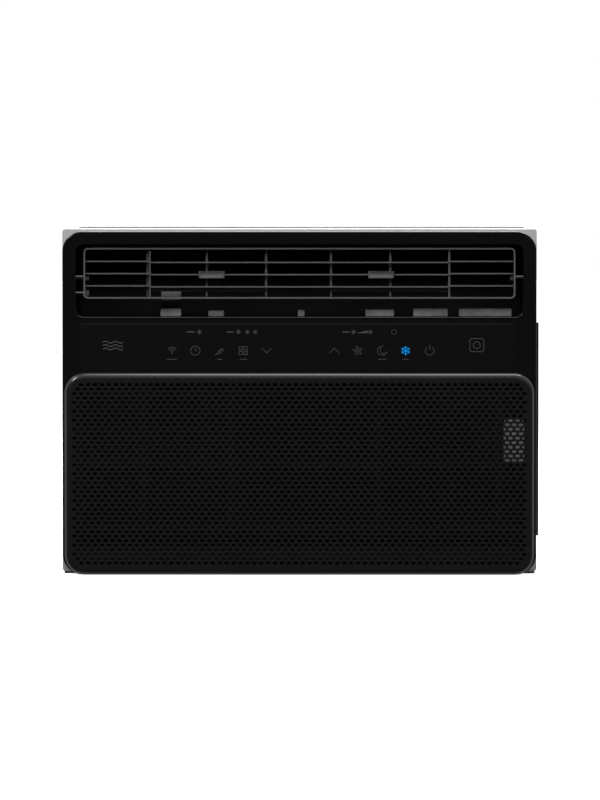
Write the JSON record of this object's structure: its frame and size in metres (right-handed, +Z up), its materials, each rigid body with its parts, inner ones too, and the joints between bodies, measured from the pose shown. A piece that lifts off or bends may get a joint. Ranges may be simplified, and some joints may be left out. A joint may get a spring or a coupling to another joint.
{
  "type": "window air conditioner",
  "caption": "Black-fronted window air conditioner with a tilting outlet louvre, touch panel, perforated intake grille, slide-out filter and full internal cooling circuit.",
  "frame": {"origin": "middle of the footprint, on the underside of the base pan", "axes": "+X to the right of someone facing the front, +Y from the room side towards the outdoor side, +Z up; the front faces -Y"},
  "size_m": [0.481, 0.4, 0.346],
  "materials": {
    "cabinet_steel": "light grey galvanised sheet, satin",
    "pan_steel": "sheet steel, dark coating",
    "black_gloss": "moulded black, satin gloss",
    "black_grille": "moulded black, fine grain",
    "panel_film": "smoked gloss film",
    "circuit_board": "solder mask",
    "led_module": "smoked",
    "filter_plastic": "moulded, fine grain",
    "filter_net": "fine woven net",
    "pale_plastic": "moulded light grey",
    "louvre_plastic": "moulded dark grey, satin",
    "pin_steel": "bright drawn pin",
    "dark_foam": "dark insulating foam",
    "grey_foam": "light grey closed-cell foam",
    "black_foam": "moulded black foam",
    "fan_plastic": "moulded black",
    "fin_aluminium": "thin fins",
    "plate_steel": "galvanised plate",
    "copper": "drawn copper",
    "motor_paint": "grey paint",
    "compressor_paint": "black paint",
    "rubber_black": "matt",
    "screw_steel": "zinc plated",
    "capacitor_can": "drawn can"
  },
  "bodies": {
    "root": {"cabinet": "cabinet_steel", "base_pan": "pan_steel", "rear_grille": "cabinet_steel", "front_bezel": "black_gloss", "intake_grille": "black_grille", "touch_panel": "panel_film", "display_board": "circuit_board", "led_display": "led_module", "outlet_duct": "dark_foam", "duct_foam": "grey_foam", "scroll_housing": "black_foam", "evaporator_fins": "fin_aluminium", "evaporator_tubes": "copper", "evaporator_end_plates": "plate_steel", "evaporator_seal": "dark_foam", "drain_tray": "black_foam", "coil_thermistor": "pale_plastic", "bulkhead": "plate_steel", "fan_motor": "motor_paint", "motor_bracket": "plate_steel", "motor_bolts": "screw_steel", "condenser_shroud": "fan_plastic", "condenser_fins": "fin_aluminium", "condenser_tubes": "copper", "condenser_end_plates": "plate_steel", "compressor": "compressor_paint", "terminal_cover": "fan_plastic", "compressor_grommets": "rubber_black", "compressor_studs": "screw_steel", "accumulator": "compressor_paint", "discharge_pipe": "copper", "suction_pipe": "copper", "capillary_tube": "copper", "filter_drier": "copper", "control_box": "plate_steel", "control_board": "circuit_board", "run_capacitor": "capacitor_can", "cord_gland": "rubber_black", "drain_plug": "rubber_black", "case_screws": "screw_steel"},
    "louvre": {"louvre_frame": "louvre_plastic", "louvre_pivots": "pin_steel", "louvre_stop_pin": "pin_steel"},
    "vane_1": {"vane_1": "louvre_plastic"},
    "vane_2": {"vane_2": "louvre_plastic"},
    "vane_3": {"vane_3": "louvre_plastic"},
    "vane_4": {"vane_4": "louvre_plastic"},
    "vane_5": {"vane_5": "louvre_plastic"},
    "vane_6": {"vane_6": "louvre_plastic"},
    "link_left": {"vane_link_left": "louvre_plastic"},
    "link_right": {"vane_link_right": "louvre_plastic"},
    "tab_left": {"vane_tab_left": "louvre_plastic"},
    "tab_right": {"vane_tab_right": "louvre_plastic"},
    "filter": {"air_filter": "filter_plastic", "filter_mesh": "filter_net", "filter_tab": "pale_plastic"},
    "fan": {"motor_shaft": "pin_steel", "blower_wheel": "fan_plastic", "condenser_fan": "fan_plastic", "fan_nuts": "screw_steel"}
  },
  "joints": [
    {"name": "louvre_tilt", "type": "hinge", "parent": "root", "child": "louvre", "pos_m": [0, -0.168, 0.2973], "axis": [1, 0, 0], "range_deg": [-20, 20]},
    {"name": "tab_left_slide", "type": "slide", "parent": "louvre", "child": "tab_left", "axis": [1, 0, 0], "range_m": [-0.00628, 0.00628]},
    {"name": "vane_1_turn", "type": "hinge", "parent": "louvre", "child": "vane_1", "pos_m": [-0.1523, -0.156, 0.3], "axis": [0, 0, 1], "range_deg": [-30, 30]},
    {"name": "vane_2_turn", "type": "hinge", "parent": "louvre", "child": "vane_2", "pos_m": [-0.0929, -0.156, 0.3], "axis": [0, 0, 1], "range_deg": [-30, 30]},
    {"name": "vane_3_turn", "type": "hinge", "parent": "louvre", "child": "vane_3", "pos_m": [-0.0335, -0.156, 0.3], "axis": [0, 0, 1], "range_deg": [-30, 30]},
    {"name": "link_left_pivot", "type": "hinge", "parent": "vane_2", "child": "link_left", "pos_m": [-0.0929, -0.165, 0.2843], "axis": [0, 0, 1], "range_deg": [-30, 30]},
    {"name": "tab_right_slide", "type": "slide", "parent": "louvre", "child": "tab_right", "axis": [1, 0, 0], "range_m": [-0.00628, 0.00628]},
    {"name": "vane_4_turn", "type": "hinge", "parent": "louvre", "child": "vane_4", "pos_m": [0.0315, -0.156, 0.3], "axis": [0, 0, 1], "range_deg": [-30, 30]},
    {"name": "vane_5_turn", "type": "hinge", "parent": "louvre", "child": "vane_5", "pos_m": [0.0909, -0.156, 0.3], "axis": [0, 0, 1], "range_deg": [-30, 30]},
    {"name": "vane_6_turn", "type": "hinge", "parent": "louvre", "child": "vane_6", "pos_m": [0.1503, -0.156, 0.3], "axis": [0, 0, 1], "range_deg": [-30, 30]},
    {"name": "link_right_pivot", "type": "hinge", "parent": "vane_5", "child": "link_right", "pos_m": [0.0909, -0.165, 0.2843], "axis": [0, 0, 1], "range_deg": [-30, 30]},
    {"name": "filter_slide", "type": "slide", "parent": "root", "child": "filter", "axis": [1, 0, 0], "range_m": [0, 0.38]},
    {"name": "fan_spin", "type": "hinge", "parent": "root", "child": "fan", "pos_m": [0.025, 0, 0.14], "axis": [0, 1, 0], "continuous": true}
  ],
  "couplings": [
    {"joint": "vane_1_turn", "follows": "tab_left_slide", "rad_per_m": 83.333},
    {"joint": "vane_2_turn", "follows": "tab_left_slide", "rad_per_m": 83.333},
    {"joint": "vane_3_turn", "follows": "tab_left_slide", "rad_per_m": 83.333},
    {"joint": "link_left_pivot", "follows": "tab_left_slide", "rad_per_m": -83.333},
    {"joint": "vane_4_turn", "follows": "tab_right_slide", "rad_per_m": 83.333},
    {"joint": "vane_5_turn", "follows": "tab_right_slide", "rad_per_m": 83.333},
    {"joint": "vane_6_turn", "follows": "tab_right_slide", "rad_per_m": 83.333},
    {"joint": "link_right_pivot", "follows": "tab_right_slide", "rad_per_m": -83.333}
  ]
}
